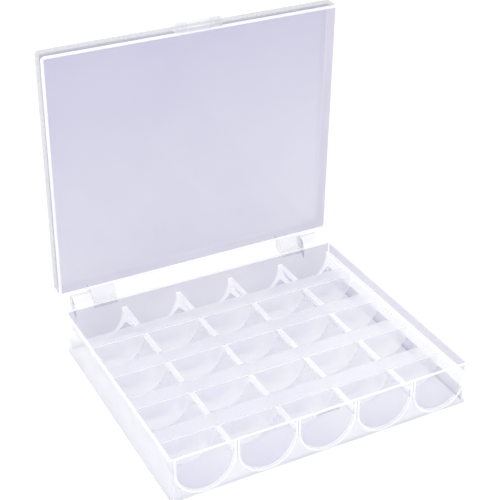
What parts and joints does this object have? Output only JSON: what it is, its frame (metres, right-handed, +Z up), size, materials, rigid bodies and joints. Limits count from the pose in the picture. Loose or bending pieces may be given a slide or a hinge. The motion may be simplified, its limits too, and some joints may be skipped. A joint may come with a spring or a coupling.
{
  "type": "bobbin box",
  "caption": "Clear plastic sewing bobbin box with half-round pockets in a square grid and a hinged, latching lid that stands open.",
  "frame": {"origin": "on the table, under the middle of the box as it stands with its lid open", "axes": "+X to the right along the front, +Y towards the hinges, +Z up"},
  "size_m": [0.122, 0.113, 0.1292],
  "materials": {
    "clear_base": "clear moulded polystyrene, glossy",
    "clear_lid": "clear moulded polystyrene, glossy"
  },
  "bodies": {
    "base": {"outer_wall": "clear_base", "trough_1": "clear_base", "trough_2": "clear_base", "trough_3": "clear_base", "trough_4": "clear_base", "trough_5": "clear_base", "cross_divider_1": "clear_base", "cross_divider_2": "clear_base", "cross_divider_3": "clear_base", "cross_divider_4": "clear_base", "catch_rib": "clear_base", "base_hinge_lug_left": "clear_base", "base_hinge_lug_right": "clear_base"},
    "lid": {"lid_panel": "clear_lid", "lid_wall": "clear_lid", "lid_latch": "clear_lid", "lid_hinge_lug_left": "clear_lid", "lid_hinge_lug_right": "clear_lid", "hinge_peg_left": "clear_lid", "hinge_peg_right": "clear_lid"}
  },
  "joints": [
    {"name": "lid_hinge", "type": "hinge", "parent": "base", "child": "lid", "pos_m": [0, 0.04993, 0.01845], "axis": [1, 0, 0], "range_deg": [0, 88]}
  ]
}
